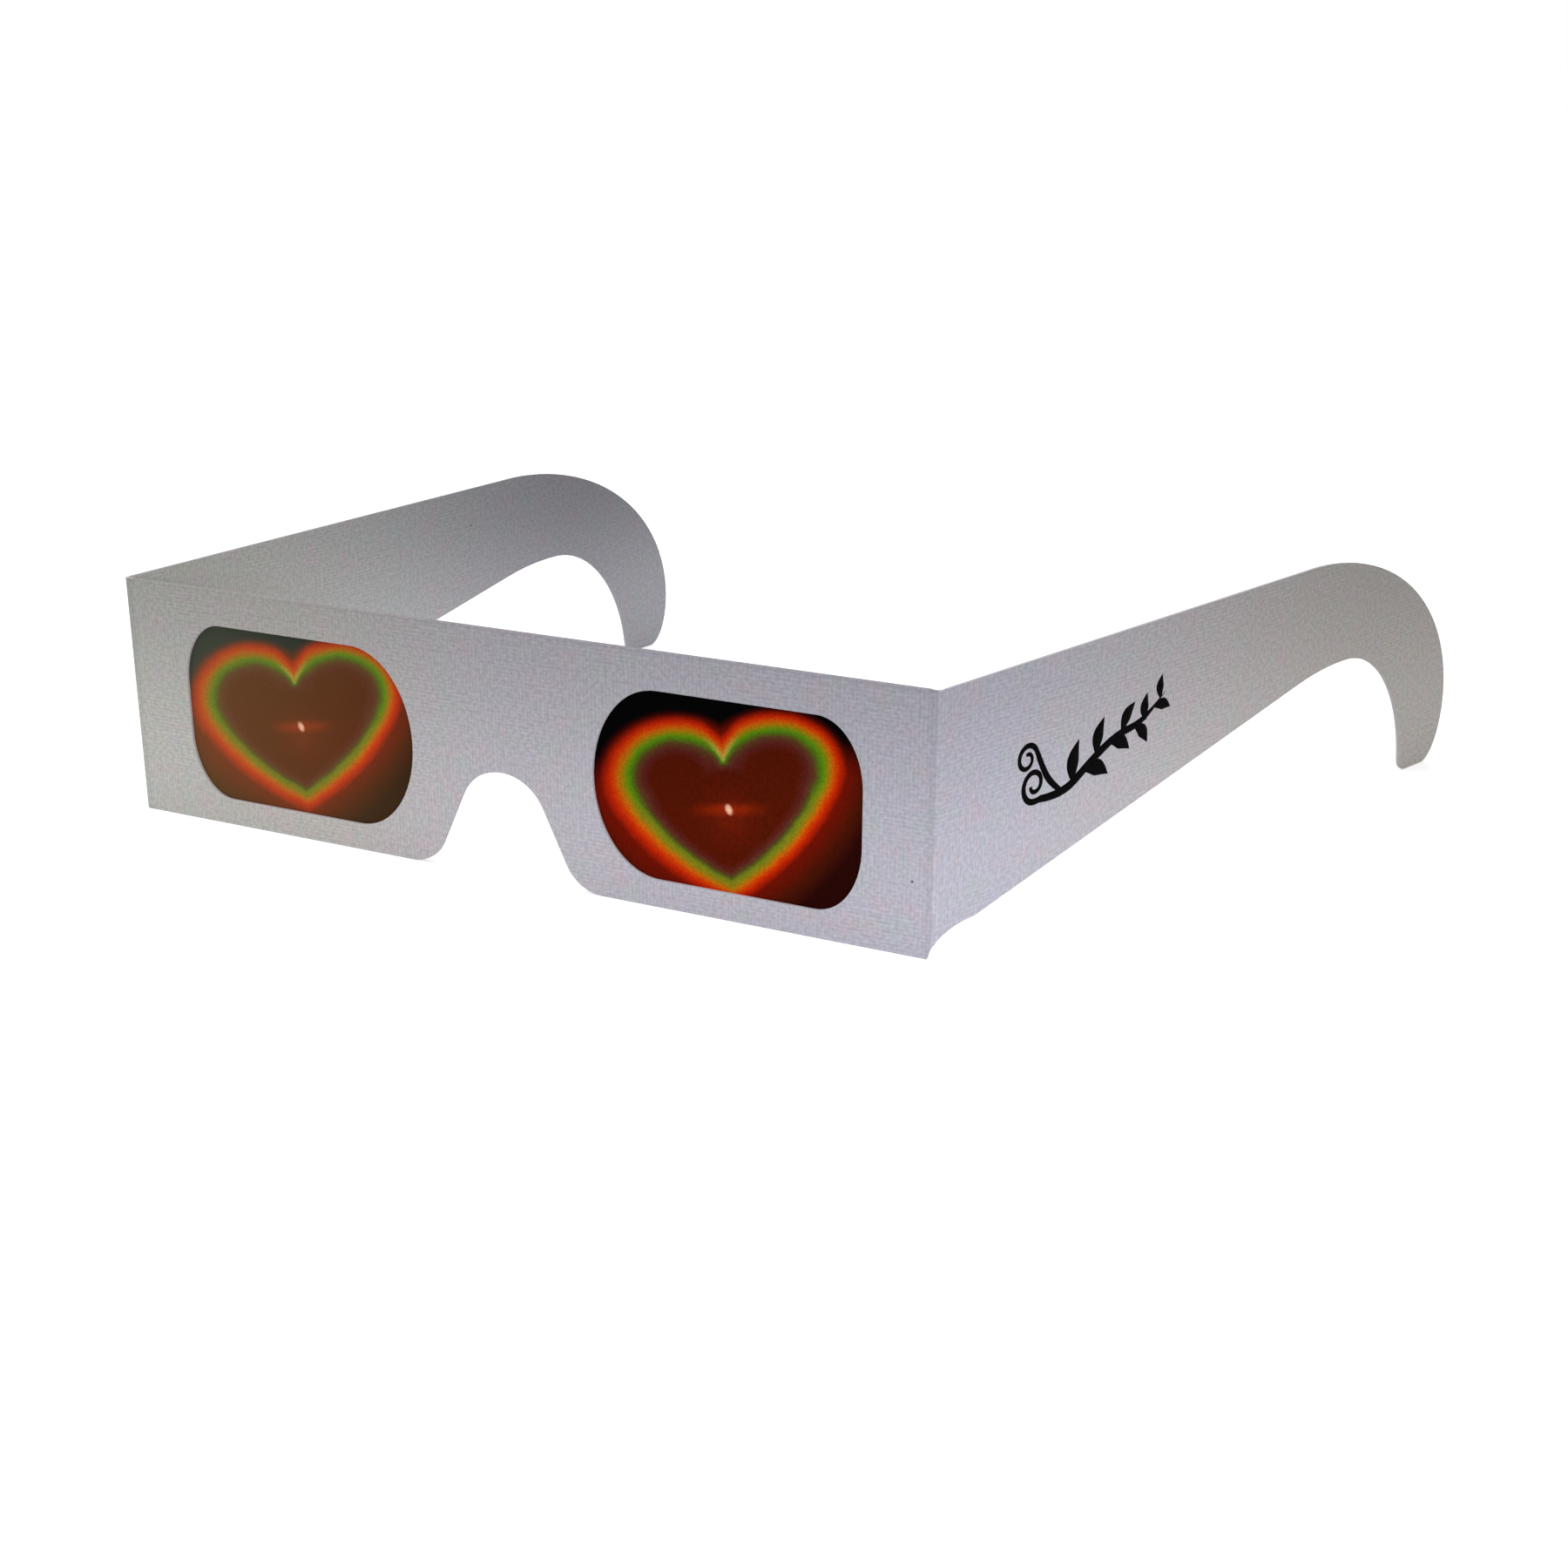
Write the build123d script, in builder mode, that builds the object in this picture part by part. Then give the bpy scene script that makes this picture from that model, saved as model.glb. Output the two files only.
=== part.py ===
from build123d import *
import os
from math import asin, atan2, cos, degrees, hypot, radians, sin, tan

# Folding paper glasses with two diffraction films. One paperboard blank is die-cut flat,
# creased and folded: a front, a back flap that folds down behind it along the top edge,
# and a temple at each end. The films lie between front and flap, held by a layer of glue.
# The frame has X along the front, the wearer's left at +X, Y back along the temples and
# Z up. The origin is under the middle of the nose notch, on the surface that the glasses
# stand on, at the front's outer face. Lengths are in millimetres, angles in degrees.

# Board, film and the gaps between moving panels
board = 0.45  # thickness of the paperboard
film = 0.1  # thickness of the films and of the glue beside them
fold_gap = 0.1  # air between the back flap and a temple folded flat behind it
crease_gap = 0.04  # running gap round a crease bead, at the temple's root
crease_margin = 0.05  # from a crease bead to the end of the stiff front

# Front, seen from outside: the lens openings and the board round them give its size
lens_width = 42.0
lens_height = 28.2
bridge_width = 31.0  # board between the two lens openings
end_border = 11.0  # board from a lens opening to the end of the front
top_border = 5.7
low_border = 4.2
lens_nose_round = 10.5  # how far the rounded nose side runs along the opening
lens_temple_round_width = 7.0
lens_temple_round_height = 10.0
notch_height = 16.4
notch_flank_angle = 65.0  # slope of the notch's sides, in degrees
notch_crown_radius = 7.6
notch_lip_radius = 6.5

# Back flap, a little smaller than the front so that it doesn't show
flap_side_inset = 2.0
flap_low_inset = 0.5
flap_notch_growth = 0.3

# Films and glue
film_overlap = 2.0  # film held by board all round each lens opening
glue_inset = 0.5  # glue stays back from the board's edges
glue_gap = 0.15  # from the glue to the edge of a film

# Temples. A run is measured along the temple, to the far end of its hook.
temple_length = 129.5  # from the front's outer face
crest_rise = 2.5  # from the front's upper edge up to the temple's crest
crest_run = 42.9  # from the crest, where the upper edge starts to curve down
hook_widest = 10.0  # height of the hook's furthest point
hook_tip_run = 5.3  # from the lowest point of the hook's outer curve
hook_tip_radius = 2.5
throat_run = 32.7  # from the highest point of the hook's inner curve
throat_band = 16.9  # board from that point up to the crest
throat_width = 20.2
throat_overrun = 1.8  # how far the inner curve goes on below the lower edge
underside_radius = 55.0  # where the straight underside turns into the hook
relief_length = 8.5  # the curved clearance below each crease
relief_height = 4.3
relief_overrun = 1.1

# How far each temple is folded, in degrees from 0, flat in line with the front, to 180
left_fold_angle = 69.0
right_fold_angle = 101.6

# Sizes and places that follow
front_width = bridge_width + 2 * (lens_width + end_border)
front_height = low_border + lens_height + top_border
hinge_back = (3 * board + film + fold_gap) / 2  # crease axis, behind the front's outer face
hinge_side = front_width / 2 - hinge_back  # crease axis, from the middle
stiff_half = hinge_side - hinge_back - crease_margin  # where the stiff front ends
flap_half = front_width / 2 - flap_side_inset
fold_radius = board + film / 2  # outer radius of the fold along the top
straight_height = front_height - fold_radius  # where that fold starts
flap_front = board + film  # the flap's inner face
sides = {"left": 1, "right": -1}
fold_angles = {"left": left_fold_angle, "right": right_fold_angle}


def save(piece, name):
    """Labels a finished piece and writes it as its own file."""
    piece.label = name
    export_step(piece, f"parts/{name}.step")
    box = piece.bounding_box()
    print(name, round(piece.volume, 2), [round(v, 2) for v in (*box.min, *box.max)])


os.makedirs("parts", exist_ok=True)

# Lens openings: a half ellipse on the nose side, elliptical corners on the temple side
lens_top = low_border + lens_height
lens_inner = bridge_width / 2
lens_outer = lens_inner + lens_width
lens_middle = (lens_inner + lens_outer) / 2
lens_centre_height = low_border + lens_height / 2
nose_end = lens_inner + lens_nose_round
corner_start = lens_outer - lens_temple_round_width
with BuildSketch() as lens_openings:
    with BuildLine():
        EllipticalCenterArc(
            (nose_end, lens_centre_height), lens_nose_round, lens_height / 2, 90, arc_size=180
        )
        Line((nose_end, low_border), (corner_start, low_border))
        EllipticalCenterArc(
            (corner_start, low_border + lens_temple_round_height),
            lens_temple_round_width,
            lens_temple_round_height,
            -90,
            arc_size=90,
        )
        Line(
            (lens_outer, low_border + lens_temple_round_height),
            (lens_outer, lens_top - lens_temple_round_height),
        )
        EllipticalCenterArc(
            (corner_start, lens_top - lens_temple_round_height),
            lens_temple_round_width,
            lens_temple_round_height,
            0,
            arc_size=90,
        )
        Line((corner_start, lens_top), (nose_end, lens_top))
    make_face()
    mirror(about=Plane.YZ)

# Nose notch: two sloping flanks under a round crown, flared out by a lip at each side
crown_height = notch_height - notch_crown_radius
flank = radians(notch_flank_angle)
notch_half = (notch_crown_radius + crown_height * cos(flank)) / sin(flank)
notch_flare = notch_half + 2 * notch_lip_radius
with BuildSketch() as nose_notch:
    with BuildLine():
        Polyline(
            (-notch_flare, -front_height),
            (-notch_flare, 0),
            (-notch_half, 0),
            (0, notch_half * tan(flank)),
            (notch_half, 0),
            (notch_flare, 0),
            (notch_flare, -front_height),
            close=True,
        )
    make_face()
    fillet(nose_notch.vertices().sort_by(Axis.Y)[-1], radius=notch_crown_radius)
    lips = nose_notch.vertices().group_by(Axis.Y)[1].sort_by(Axis.X)[1:3]
    fillet(lips, radius=notch_lip_radius)

# Front: the outer ply, from one crease strip to the other
with BuildPart() as front_panel:
    with BuildSketch(Plane.XZ):
        with Locations((0, straight_height / 2)):
            Rectangle(2 * stiff_half, straight_height)
        add(nose_notch.sketch_local, mode=Mode.SUBTRACT)
        add(lens_openings.sketch_local, mode=Mode.SUBTRACT)
    extrude(amount=-board)
save(front_panel.part, "front_panel")

# Top fold: the board turned half round over the top edge, outer face out
with BuildPart() as top_fold:
    with BuildSketch(Plane.YZ.offset(-stiff_half)):
        with Locations((fold_radius, straight_height)):
            Circle(fold_radius)
            Circle(film / 2, mode=Mode.SUBTRACT)
        with Locations((fold_radius, straight_height - fold_radius)):
            Rectangle(2 * fold_radius, 2 * fold_radius, mode=Mode.SUBTRACT)
    extrude(amount=2 * stiff_half)
save(top_fold.part, "top_fold")

# Back flap: the inner ply, which stops short of the creases, the lower edge and the notch
with BuildPart() as back_flap:
    with BuildSketch(Plane.XZ.offset(-flap_front)):
        with Locations((0, (straight_height + flap_low_inset) / 2)):
            Rectangle(2 * flap_half, straight_height - flap_low_inset)
        offset(nose_notch.sketch_local, amount=flap_notch_growth, mode=Mode.SUBTRACT)
        add(lens_openings.sketch_local, mode=Mode.SUBTRACT)
    extrude(amount=-board)
save(back_flap.part, "back_flap")

# Films: a rectangle of diffraction film behind each opening, caught between the plies
film_width = lens_width + 2 * film_overlap
film_height = lens_height + 2 * film_overlap
for name, side in sides.items():
    with BuildPart() as lens_film:
        with BuildSketch(Plane.XZ.offset(-board)):
            with Locations((side * lens_middle, lens_centre_height)):
                Rectangle(film_width, film_height)
        extrude(amount=-film)
    save(lens_film.part, f"{name}_film")

# Glue: a thin layer that joins the two plies round the films
glue_low = flap_low_inset + glue_inset
glue_high = straight_height - glue_inset
with BuildPart() as glue_layer:
    with BuildSketch(Plane.XZ.offset(-board)):
        with Locations((0, (glue_low + glue_high) / 2)):
            Rectangle(2 * (flap_half - glue_inset), glue_high - glue_low)
        offset(
            nose_notch.sketch_local,
            amount=flap_notch_growth + glue_inset,
            mode=Mode.SUBTRACT,
        )
        with Locations(*[(side * lens_middle, lens_centre_height) for side in sides.values()]):
            Rectangle(
                film_width + 2 * glue_gap, film_height + 2 * glue_gap, mode=Mode.SUBTRACT
            )
    extrude(amount=-film)
save(glue_layer.part, "glue_layer")

# Creases: the scored strip at each end of the front. Its board is crushed into a bead on
# the inside, round which the temple turns, and its lower end is cut away by the relief.
for name, side in sides.items():
    with BuildPart() as crease:
        with BuildSketch(Plane.XY):
            with Locations((side * hinge_side, hinge_back)):
                Circle(hinge_back)
            with Locations((side * (stiff_half + hinge_side) / 2, board / 2)):
                Rectangle(hinge_side - stiff_half, board)
        extrude(amount=front_height)
        with BuildSketch(Plane.XZ):
            with Locations((side * (front_width / 2 + relief_length), 0)):
                Ellipse(relief_length + relief_overrun, relief_height)
        extrude(amount=2 * hinge_back, both=True, mode=Mode.SUBTRACT)
    save(crease.part, f"{name}_crease")

# Temple outline: x runs back from the front's outer face and y up from the lower edge.
# The underside is straight from the relief to a gentle arc that leads into the hook.
crest_height = front_height + crest_rise
crest_reach = temple_length - crest_run
hook_tip = temple_length - hook_tip_run
throat_reach = temple_length - throat_run
throat_height = crest_height - throat_band
hook_inner = throat_reach + throat_width
run = throat_reach - relief_length
drop = relief_height - (throat_height - underside_radius)
underside_slope = degrees(asin(underside_radius / hypot(run, drop)) - atan2(drop, run))
with BuildSketch() as temple_outline:
    with BuildLine():
        EllipticalCenterArc(
            (relief_length, 0), relief_length + relief_overrun, relief_height, 90, arc_size=90
        )
        turn = JernArc(
            (throat_reach, throat_height), (-1, 0), underside_radius, underside_slope
        )
        Line(turn @ 1, (relief_length, relief_height))
        EllipticalCenterArc(
            (throat_reach, -throat_overrun),
            throat_width,
            throat_height + throat_overrun,
            0,
            arc_size=90,
        )
        Polyline((hook_inner, -throat_overrun), (hook_tip, -throat_overrun), (hook_tip, 0))
        EllipticalCenterArc(
            (hook_tip, hook_widest), hook_tip_run, hook_widest, -90, arc_size=90
        )
        EllipticalCenterArc(
            (crest_reach, hook_widest),
            crest_run,
            crest_height - hook_widest,
            0,
            arc_size=90,
        )
        Polyline(
            (crest_reach, crest_height),
            (0, front_height),
            (-relief_overrun, front_height),
            (-relief_overrun, 0),
        )
    make_face()
    with Locations(((hinge_back + temple_length) / 2, crest_height / 2)):
        Rectangle(temple_length - hinge_back, crest_height, mode=Mode.INTERSECT)
    tip_corner = temple_outline.vertices().group_by(Axis.Y)[0].sort_by(Axis.X)[0]
    fillet(tip_corner, radius=hook_tip_radius)

# Temples: each turned about its crease to the fold it has here. The root is hollowed
# round the crease bead, so that it turns without touching it.
for name, side in sides.items():
    fold = radians(fold_angles[name])
    along = Vector(side * cos(fold), sin(fold), 0)
    outward = Vector(side * sin(fold), -cos(fold), 0)
    axis_foot = Vector(side * hinge_side, hinge_back, 0)
    outer_corner = axis_foot + (outward - along) * hinge_back
    outer_face = Plane(outer_corner, x_dir=along, z_dir=outward * side)
    with BuildPart() as temple:
        with BuildSketch(outer_face):
            add(temple_outline.sketch_local)
        extrude(amount=-side * board)
        with BuildSketch(Plane.XY):
            with Locations((axis_foot.X, axis_foot.Y)):
                Circle(hinge_back + crease_gap)
        extrude(amount=crest_height, mode=Mode.SUBTRACT)
    save(temple.part, f"{name}_temple")
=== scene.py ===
from math import atan2, cos, pi, radians, sin, sqrt

import bmesh
import bpy
from mathutils import Matrix, Vector


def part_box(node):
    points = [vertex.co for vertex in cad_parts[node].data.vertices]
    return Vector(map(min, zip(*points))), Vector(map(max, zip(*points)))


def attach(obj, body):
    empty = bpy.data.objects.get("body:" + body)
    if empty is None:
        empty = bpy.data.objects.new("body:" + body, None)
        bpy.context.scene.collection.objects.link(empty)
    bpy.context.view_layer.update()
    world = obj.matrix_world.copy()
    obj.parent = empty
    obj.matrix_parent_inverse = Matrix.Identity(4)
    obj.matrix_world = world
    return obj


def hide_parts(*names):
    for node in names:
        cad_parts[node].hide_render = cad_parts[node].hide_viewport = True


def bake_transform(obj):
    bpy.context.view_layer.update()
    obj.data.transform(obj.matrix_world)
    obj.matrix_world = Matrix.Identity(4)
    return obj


# Folding paper glasses with two diffraction films, standing opened on a white table.
# Everything is in metres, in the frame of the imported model: X along the front with the
# wearer's left at +X, Y back along the temples, Z up from the table.
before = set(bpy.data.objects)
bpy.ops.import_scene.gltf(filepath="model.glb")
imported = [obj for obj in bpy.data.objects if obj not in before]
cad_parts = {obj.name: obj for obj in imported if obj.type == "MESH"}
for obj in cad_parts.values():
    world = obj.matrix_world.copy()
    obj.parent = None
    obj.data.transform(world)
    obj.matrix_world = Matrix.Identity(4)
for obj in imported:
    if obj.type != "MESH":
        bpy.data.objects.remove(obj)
bpy.context.view_layer.update()
mm = 0.001

# The photographer's camera: a short telephoto on a full-frame body, held a little above
# the glasses in front of the wearer's left side.
eye = Vector((163.23, -245.33, 117.19)) * mm
eye_azimuth = radians(25.579)
eye_elevation = radians(19.314)
eye_roll = radians(0.3)
camera_data = bpy.data.cameras.new("photographer")
camera_data.sensor_width = 36.0
camera_data.lens = 48.54
camera = bpy.data.objects.new("photographer", camera_data)
camera.location = eye
camera.rotation_euler = (
    Matrix.Rotation(eye_azimuth, 4, "Z")
    @ Matrix.Rotation(pi / 2 - eye_elevation, 4, "X")
    @ Matrix.Rotation(eye_roll, 4, "Z")
).to_euler()
bpy.context.scene.collection.objects.link(camera)
bpy.context.scene.camera = camera


# Paperboard: one die-cut sheet of solid bleached board, 0.45 mm thick, pressed with a fine
# linen grain and left unprinted. Front, top fold, back flap, creases and temples are all
# this sheet, so they share one finish, laid out on the flat blank before it was folded.
def linear(hex_colour):
    """An sRGB colour such as "B1ADBA" as the linear colour that a shader reads."""
    shares = [int(hex_colour[i : i + 2], 16) / 255 for i in (0, 2, 4)]
    return [s / 12.92 if s <= 0.04045 else ((s + 0.055) / 1.055) ** 2.4 for s in shares] + [1]


def feed(tree, node, sockets):
    """Gives a node's sockets, by number or name, a value, or a node or an output to link. A
    node is linked by the first of its outputs that is in use."""
    for socket, value in sockets.items():
        if isinstance(value, bpy.types.Node):
            value = next(output for output in value.outputs if output.enabled)
        if isinstance(value, bpy.types.NodeSocket):
            tree.links.new(value, node.inputs[socket])
        else:
            node.inputs[socket].default_value = value


def add(tree, kind, sockets=(), **settings):
    """Adds a node to a tree with its settings. Its sockets are fed by name, or in order."""
    made = tree.nodes.new(kind)
    for name, value in settings.items():
        setattr(made, name, value)
    feed(tree, made, sockets if isinstance(sockets, dict) else dict(enumerate(sockets)))
    return made


def fill_ramp(node, stops):
    """Gives a colour ramp its stops, each a place from 0 to 1 and a colour."""
    elements = node.color_ramp.elements
    while len(elements) < len(stops):
        elements.new(1.0)
    for element, (place, colour) in zip(elements, stops):
        element.position = place
        element.color = linear(colour)


def start_material(name):
    """A new material, with its node tree and its shader."""
    made = bpy.data.materials.new(name)
    made.use_nodes = True
    return made, made.node_tree, made.node_tree.nodes["Principled BSDF"]


def finish_shader(tree, shader, colour, height, rise, sockets):
    """Feeds a shader its colour, its bump, from 0 to 1 and standing rise metres, and the rest."""
    bump = add(tree, "ShaderNodeBump", {"Height": height, "Distance": rise})
    feed(tree, shader, {"Base Color": colour, "Normal": bump, **sockets})


eased = {"interpolation_type": "SMOOTHSTEP"}  # for a Map Range that starts and ends gently


def linen_board():
    """Linen-embossed bleached board. The emboss gives the eye short crossed threads with pale crowns, on
    a dull white. The sheet is lilac about its middle and greyer and warmer towards its ends, and turns a
    little pink or green in patches. Shade is painted on it too: it is paler at its foot and darker
    towards its top, darker along the temples towards their hooks, and darker in the scored crease and
    along the top fold's crest."""
    made, tree, shader = start_material("linen_embossed_paperboard")
    blank = add(tree, "ShaderNodeUVMap", uv_map="flat_blank")
    # The blank in millimetres: every size below is in millimetres too
    place = add(tree, "ShaderNodeVectorMath", {0: blank, "Scale": 1 / mm}, operation="SCALE")
    across, up_sheet, _ = add(tree, "ShaderNodeSeparateXYZ", [place]).outputs

    # Four noises that lie flat on the sheet: the size of their lumps, their detail and start
    noises = []
    for size, detail, start in ((14.0, 1.0, 90.0), (0.65, 2.0, 7.0), (4.0, 2.0, 11.0), (4.5, 2.0, 57.0)):
        moved = add(tree, "ShaderNodeMapping", {"Vector": place, "Location": (start, start, 0)})
        sockets = {"Vector": moved, "Scale": 1 / size, "Detail": detail}
        noises.append(add(tree, "ShaderNodeTexNoise", sockets, noise_dimensions="2D"))
    broad, fibres, pink, green = noises

    # The weave: in some places its warp was pressed the deeper, in others its weft
    pitch = 0.6  # twice the threads' real pitch, which would be too fine to show
    wave_length = pi / 10  # of a wave texture at a scale of 1
    wave = {"Vector": place, "Scale": wave_length / pitch, "Distortion": 2.5, "Detail Scale": 2.0}
    warp = add(tree, "ShaderNodeTexWave", wave, bands_direction="X").outputs["Fac"]
    weft = add(tree, "ShaderNodeTexWave", wave, bands_direction="Y").outputs["Fac"]
    pressed = add(tree, "ShaderNodeMapRange", [broad, 0.3, 0.7, 0.15, 0.85], **eased)
    weave = add(tree, "ShaderNodeMix", {0: pressed, 2: warp, 3: weft})
    grain = add(tree, "ShaderNodeMix", {0: 0.5, 2: weave, 3: fibres})

    sheet_length = 400.0
    along = add(tree, "ShaderNodeMath", [across, 1 / sheet_length, 0.5], operation="MULTIPLY_ADD")
    tint = add(tree, "ShaderNodeValToRGB", [along])
    fill_ramp(
        tint,
        [
            (0.10, "AEAEB6"),
            (0.30, "AFB0AA"),
            (0.42, "B3AFAB"),
            (0.50, "AFACB5"),
            (0.70, "AEADBA"),
            (0.80, "B1ACAF"),
            (0.90, "B1ACA7"),
        ],
    )
    # The patches: their noise, how much they show at most and their colour
    colour = tint
    for noise, most, patch in ((pink, 0.4, "B9A8B1"), (green, 0.35, "A6B2AF")):
        share = add(tree, "ShaderNodeMapRange", [noise, 0.5, 0.72, 0.0, most], **eased)
        sockets = {0: share, 6: colour, 7: linear(patch)}
        colour = add(tree, "ShaderNodeMix", sockets, data_type="RGBA")

    # Painted shade along a temple: the sheet darkens towards the hook. On the reverse it is painted
    # paler at the root, darkens sooner, and is paler at its foot than higher up
    height = add(tree, "ShaderNodeSeparateXYZ", [add(tree, "ShaderNodeTexCoord").outputs["Object"]])
    height = height.outputs["Z"]
    reach = add(tree, "ShaderNodeMath", [across], operation="ABSOLUTE")
    reverse = add(tree, "ShaderNodeMath", [up_sheet, reverse_side / mm / 2], operation="LESS_THAN")
    printed_side_shade = add(tree, "ShaderNodeMapRange", [reach, 85.0, 200.0, 1.0, 0.7], **eased)
    reverse_side_shade = add(tree, "ShaderNodeMapRange", [reach, 70.0, 182.0, 1.38, 0.62], **eased)
    reverse_foot_shade = add(tree, "ShaderNodeMapRange", [height, 8 * mm, 40 * mm, 1.25, 0.91], **eased)
    reverse_side_shade = add(tree, "ShaderNodeMath", [reverse_side_shade, reverse_foot_shade], operation="MULTIPLY")
    tone = add(tree, "ShaderNodeMix", {0: reverse, 2: printed_side_shade, 3: reverse_side_shade})

    # The crease is scored where the front ends, and painted shade darkens that score and the top fold's
    # crest, which is only as long as the front
    front_end = 67.5  # from the sheet's middle
    fold_crest = 38.4  # up the sheet
    score_starts = add(tree, "ShaderNodeMapRange", [reach, front_end - 1.1, front_end], **eased)
    score_ends = add(tree, "ShaderNodeMapRange", [reach, front_end + 0.6, front_end + 0.1], **eased)
    crease_shade = add(tree, "ShaderNodeMath", [score_starts, score_ends], operation="MULTIPLY")
    from_fold = add(tree, "ShaderNodeMath", [up_sheet, fold_crest], operation="SUBTRACT")
    from_fold = add(tree, "ShaderNodeMath", [from_fold], operation="ABSOLUTE")
    past_front = add(tree, "ShaderNodeMapRange", [reach, front_end, front_end + 0.5], **eased)
    from_fold = add(tree, "ShaderNodeMath", [from_fold, past_front], operation="ADD")

    # What else changes the tone, from where to where, and the tone at those two ends. Weave and fibres
    # are the board's own; height, score and fold crest are painted shade: paler at the foot and darker
    # towards the top, darker in the crease and along the fold's crest
    for sockets in (
        (weave, 0.0, 1.0, 0.94, 1.06),
        (fibres, 0.25, 0.75, 0.895, 1.105),
        (height, 5 * mm, 45 * mm, 1.16, 0.71),
        (crease_shade, 0.0, 1.0, 1.0, 0.93),
        (from_fold, 0.4, 1.0, 0.78, 1.0),
    ):
        share = add(tree, "ShaderNodeMapRange", sockets, **eased)
        tone = add(tree, "ShaderNodeMath", [tone, share], operation="MULTIPLY")
    colour = add(tree, "ShaderNodeHueSaturation", {"Value": tone, "Color": colour})

    # Two specks of bark that the bleach missed, one on the front and one on the reverse
    speck_edge, speck_core = 0.26, 0.1
    for speck in ((64.95, 10.96, 0), (-143.1, 33.55 + reverse_side / mm, 0)):
        away = add(tree, "ShaderNodeVectorMath", [place, speck], operation="DISTANCE")
        share = add(tree, "ShaderNodeMapRange", [away, speck_edge, speck_core], **eased)
        sockets = {0: share, 6: colour, 7: linear("4E4850")}
        colour = add(tree, "ShaderNodeMix", sockets, data_type="RGBA")
    emboss_depth = 0.012 * mm
    matt = {"Roughness": 0.75, "IOR": 1.45}
    finish_shader(tree, shader, colour, grain, emboss_depth, matt)
    return made


def cut_edge():
    """The die-cut edge of the board: bare pressed fibre, matt and a little whiter, without
    the emboss."""
    made, tree, shader = start_material("die_cut_board_edge")
    fibre_size = 0.15 * mm
    place = add(tree, "ShaderNodeTexCoord").outputs["Object"]
    sockets = {"Vector": place, "Scale": 1 / fibre_size, "Detail": 3.0}
    fibres = add(tree, "ShaderNodeTexNoise", sockets)
    tone = add(tree, "ShaderNodeValToRGB", [fibres])
    fill_ramp(tone, [(0.3, "A29EA4"), (0.7, "BFBBC0")])
    finish_shader(tree, shader, tone, fibres, 0.01 * mm, {"Roughness": 0.9})
    return made


board = 0.45 * mm
rolled_rim = 0.05 * mm  # how far the die rolls the sheet's edge over
seam = 0.002 * mm
reverse_side = -100 * mm  # where the sheet's reverse is laid out, below its printed side
cut_corner = radians(40)  # a sharper turn is a cut corner of the sheet
soft_turn = radians(20)  # a slighter turn is shaded as one smooth surface
no_turn = radians(0.5)  # a slighter turn is none: the two faces are one
side_lean = 0.3  # a face that leans less towards the sheet's sides is its cut edge
linen = linen_board()
bare_edge = cut_edge()


def merged_copy(node):
    """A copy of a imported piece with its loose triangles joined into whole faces."""
    bm = bmesh.new()
    bm.from_mesh(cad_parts[node].data)
    bmesh.ops.remove_doubles(bm, verts=bm.verts, dist=seam / 2)
    bmesh.ops.dissolve_limit(bm, angle_limit=no_turn, verts=bm.verts, edges=bm.edges)
    return bm


def board_piece(name, bm, out, flat, runs_on):
    """Makes a piece of the sheet from a bmesh. out gives the sheet's own outward direction
    at a point, flat where the point lay on the flat blank, and runs_on whether the sheet
    runs on there into the next piece, so that it has no edge."""
    sharp = [
        e
        for e in bm.edges
        if e.calc_face_angle(0) > cut_corner and not all(runs_on(v.co) for v in e.verts)
    ]
    bmesh.ops.bevel(
        bm,
        geom=sharp,
        offset=rolled_rim,
        affect="EDGES",
        segments=2,
        profile=0.5,
        material=-1,
        clamp_overlap=True,
    )
    sheet = bm.loops.layers.uv.new("flat_blank")
    for face in bm.faces:
        lean = face.normal.dot(out(face.calc_center_median()))
        face.smooth = True
        face.material_index = 0 if abs(lean) > side_lean else 1
        for loop in face.loops:
            across, up = flat(loop.vert.co)
            loop[sheet].uv = across, up + (reverse_side if lean < -side_lean else 0)
    for e in bm.edges:
        e.smooth = e.calc_face_angle(0) < soft_turn
    mesh = bpy.data.meshes.new(name)
    bm.to_mesh(mesh)
    bm.free()
    mesh.materials.append(linen)
    mesh.materials.append(bare_edge)
    piece = bpy.data.objects.new(name, mesh)
    bpy.context.scene.collection.objects.link(piece)
    return piece


# Front: the outer ply of the folded blank, with the two lens openings and the nose notch.
# It is die-cut, so its edges are square with a faint roll where the rule pressed.
_, front_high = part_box("front_panel")
stiff_half = front_high.x
front = board_piece(
    "front_board",
    merged_copy("front_panel"),
    lambda co: Vector((0, -1, 0)),
    lambda co: (co.x, co.z),
    lambda co: abs(co.x) > stiff_half - seam or co.z > front_high.z - seam,
)
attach(front, "front")
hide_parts("front_panel")

# Top fold: the same sheet turned half round over the top edge. The board is stretched on
# its outside, so the fold is a plain round bead with the linen running over it.
fold_low, fold_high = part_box("top_fold")
fold_middle = Vector((0, (fold_low.y + fold_high.y) / 2, fold_low.z))
over_fold = pi * (fold_high.z - fold_low.z)


def over_the_top(co):
    """Where a point of the top fold lay on the flat blank."""
    turn = atan2(co.z - fold_middle.z, fold_middle.y - co.y)
    return co.x, fold_middle.z + turn / pi * over_fold


top = board_piece(
    "top_fold_board",
    merged_copy("top_fold"),
    lambda co: Vector((0, co.y - fold_middle.y, co.z - fold_middle.z)).normalized(),
    over_the_top,
    lambda co: True,
)
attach(top, "front")
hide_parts("top_fold")

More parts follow.
